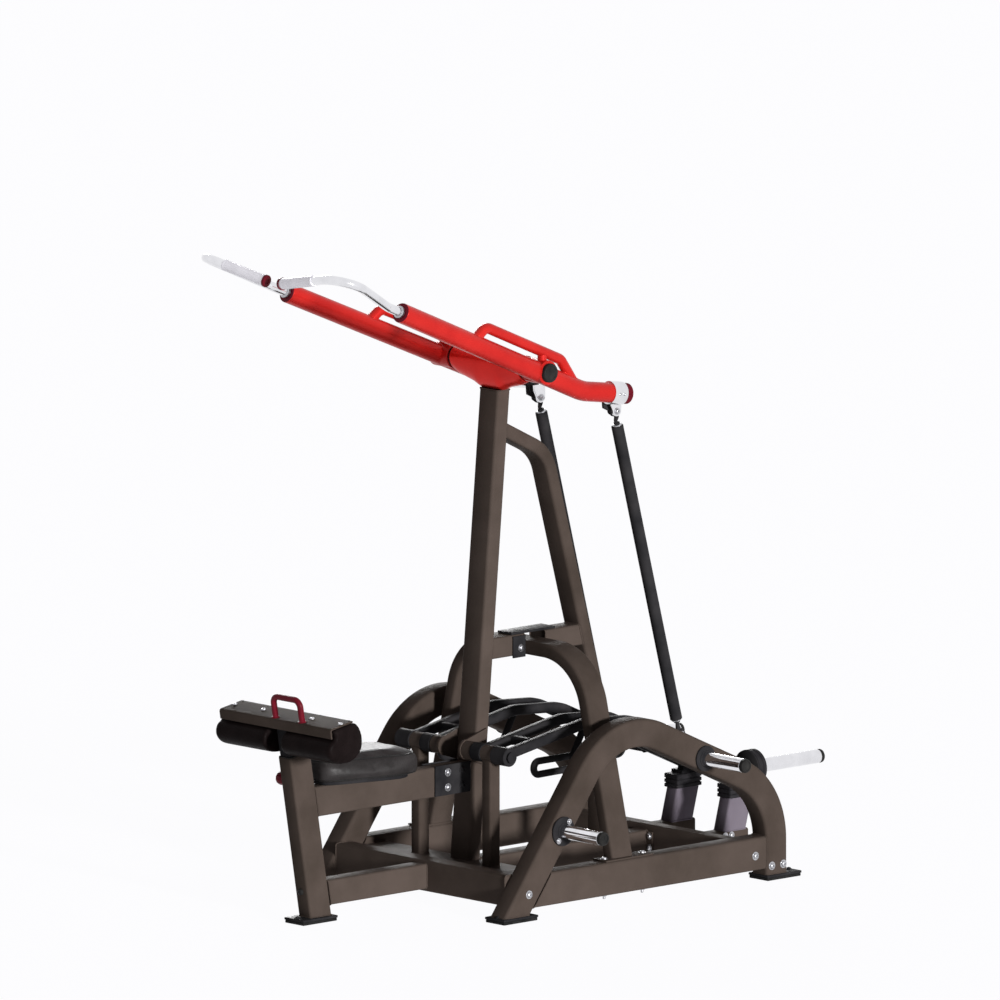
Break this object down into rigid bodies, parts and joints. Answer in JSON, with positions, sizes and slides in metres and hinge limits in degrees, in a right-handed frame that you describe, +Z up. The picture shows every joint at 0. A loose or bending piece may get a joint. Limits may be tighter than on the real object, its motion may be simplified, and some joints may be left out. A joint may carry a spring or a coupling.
{
  "type": "plate-loaded lat pulldown machine",
  "caption": "Plate-loaded lat pulldown machine with overhead pull arms, push rods, swing levers with plate horns, a tapered seat and a sliding thigh pad.",
  "frame": {"origin": "on the floor under the middle of the machine's bounding box", "axes": "+Z up, +X the right-hand side seen from the front, +Y from the thigh pad towards the weight end"},
  "size_m": [1.4586, 2.3348, 2.354],
  "materials": {
    "frame_paint": "gloss dark brown-black powder coat",
    "arm_paint": "gloss bright red paint",
    "trim_red": "dark red",
    "chrome": "polished",
    "steel": "zinc plated",
    "rubber": "matt black",
    "black_steel": "satin black",
    "grip": "pale grey, satin",
    "vinyl": "black upholstery over foam"
  },
  "bodies": {
    "frame": {"arch_left": "frame_paint", "arch_right": "frame_paint", "base_tube": "frame_paint", "foot_left_front": "black_steel", "foot_left_rear": "black_steel", "foot_right_front": "black_steel", "foot_right_rear": "black_steel", "foot_seat": "black_steel", "front_beam": "frame_paint", "front_cross_tube": "frame_paint", "front_post": "frame_paint", "hoop": "frame_paint", "lever_post_left": "frame_paint", "lever_post_right": "frame_paint", "lever_shaft_left": "steel", "lever_shaft_right": "steel", "main_upright": "frame_paint", "mid_cross_tube": "frame_paint", "pivot_head": "arm_paint", "pivot_shaft": "black_steel", "rail_left": "frame_paint", "rail_right": "frame_paint", "rear_beam": "frame_paint", "rear_cross_tube": "frame_paint", "rear_stay": "frame_paint", "seat_beam": "frame_paint", "seat_carrier": "black_steel", "seat_cushion": "vinyl", "spine_tube": "frame_paint", "stop_cap_left": "rubber", "stop_cap_right": "rubber", "stop_post_left": "frame_paint", "stop_post_right": "frame_paint", "storage_horn_left_front": "chrome", "storage_horn_left_rear": "chrome", "storage_horn_right_front": "chrome", "storage_horn_right_rear": "chrome", "tie_plate": "black_steel"},
    "arm_right": {"arm_right": "arm_paint", "handle_bar_right": "chrome", "grip_right": "grip", "grip_cap_right": "trim_red", "rod_clamp_right": "steel"},
    "push_rod_right": {"push_rod_right": "black_steel"},
    "lever_right": {"lever_right": "black_steel", "plate_horn_right": "chrome"},
    "arm_left": {"arm_left": "arm_paint", "handle_bar_left": "chrome", "grip_left": "grip", "grip_cap_left": "trim_red", "rod_clamp_left": "steel"},
    "push_rod_left": {"push_rod_left": "black_steel"},
    "lever_left": {"lever_left": "black_steel", "plate_horn_left": "chrome"},
    "thigh_pad": {"thigh_pad": "vinyl", "pad_plate": "frame_paint", "pad_grab_handle": "trim_red", "pad_post": "black_steel"},
    "lock_pin": {"lock_pin": "trim_red"}
  },
  "joints": [
    {"name": "arm_right_pull", "type": "hinge", "parent": "frame", "child": "arm_right", "pos_m": [0, -0.07989, 1.883], "axis": [1, 0, 0], "range_deg": [0, 30]},
    {"name": "push_rod_right_pin", "type": "hinge", "parent": "arm_right", "child": "push_rod_right", "pos_m": [0, 0.32211, 1.69], "axis": [1, 0, 0], "range_deg": [-34, 0]},
    {"name": "lever_right_swing", "type": "hinge", "parent": "frame", "child": "lever_right", "pos_m": [0, -0.25789, 0.535], "axis": [1, 0, 0], "range_deg": [0, 13.6]},
    {"name": "arm_left_pull", "type": "hinge", "parent": "frame", "child": "arm_left", "pos_m": [0, -0.07989, 1.883], "axis": [1, 0, 0], "range_deg": [0, 30]},
    {"name": "push_rod_left_pin", "type": "hinge", "parent": "arm_left", "child": "push_rod_left", "pos_m": [0, 0.32211, 1.69], "axis": [1, 0, 0], "range_deg": [-34, 0]},
    {"name": "lever_left_swing", "type": "hinge", "parent": "frame", "child": "lever_left", "pos_m": [0, -0.25789, 0.535], "axis": [1, 0, 0], "range_deg": [0, 13.6]},
    {"name": "thigh_pad_height", "type": "slide", "parent": "frame", "child": "thigh_pad", "axis": [0, -0.1676, 0.9859], "range_m": [0, 0.1]},
    {"name": "lock_pin_pull", "type": "slide", "parent": "frame", "child": "lock_pin", "axis": [-1, 0, 0], "range_m": [0, 0.012], "stiffness_N_per_m": 400, "springref_m": -0.006}
  ],
  "couplings": [
    {"joint": "push_rod_right_pin", "follows": "arm_right_pull", "ratio": -1.1047},
    {"joint": "lever_right_swing", "follows": "arm_right_pull", "ratio": 0.45002},
    {"joint": "push_rod_left_pin", "follows": "arm_left_pull", "ratio": -1.1047},
    {"joint": "lever_left_swing", "follows": "arm_left_pull", "ratio": 0.45002}
  ]
}
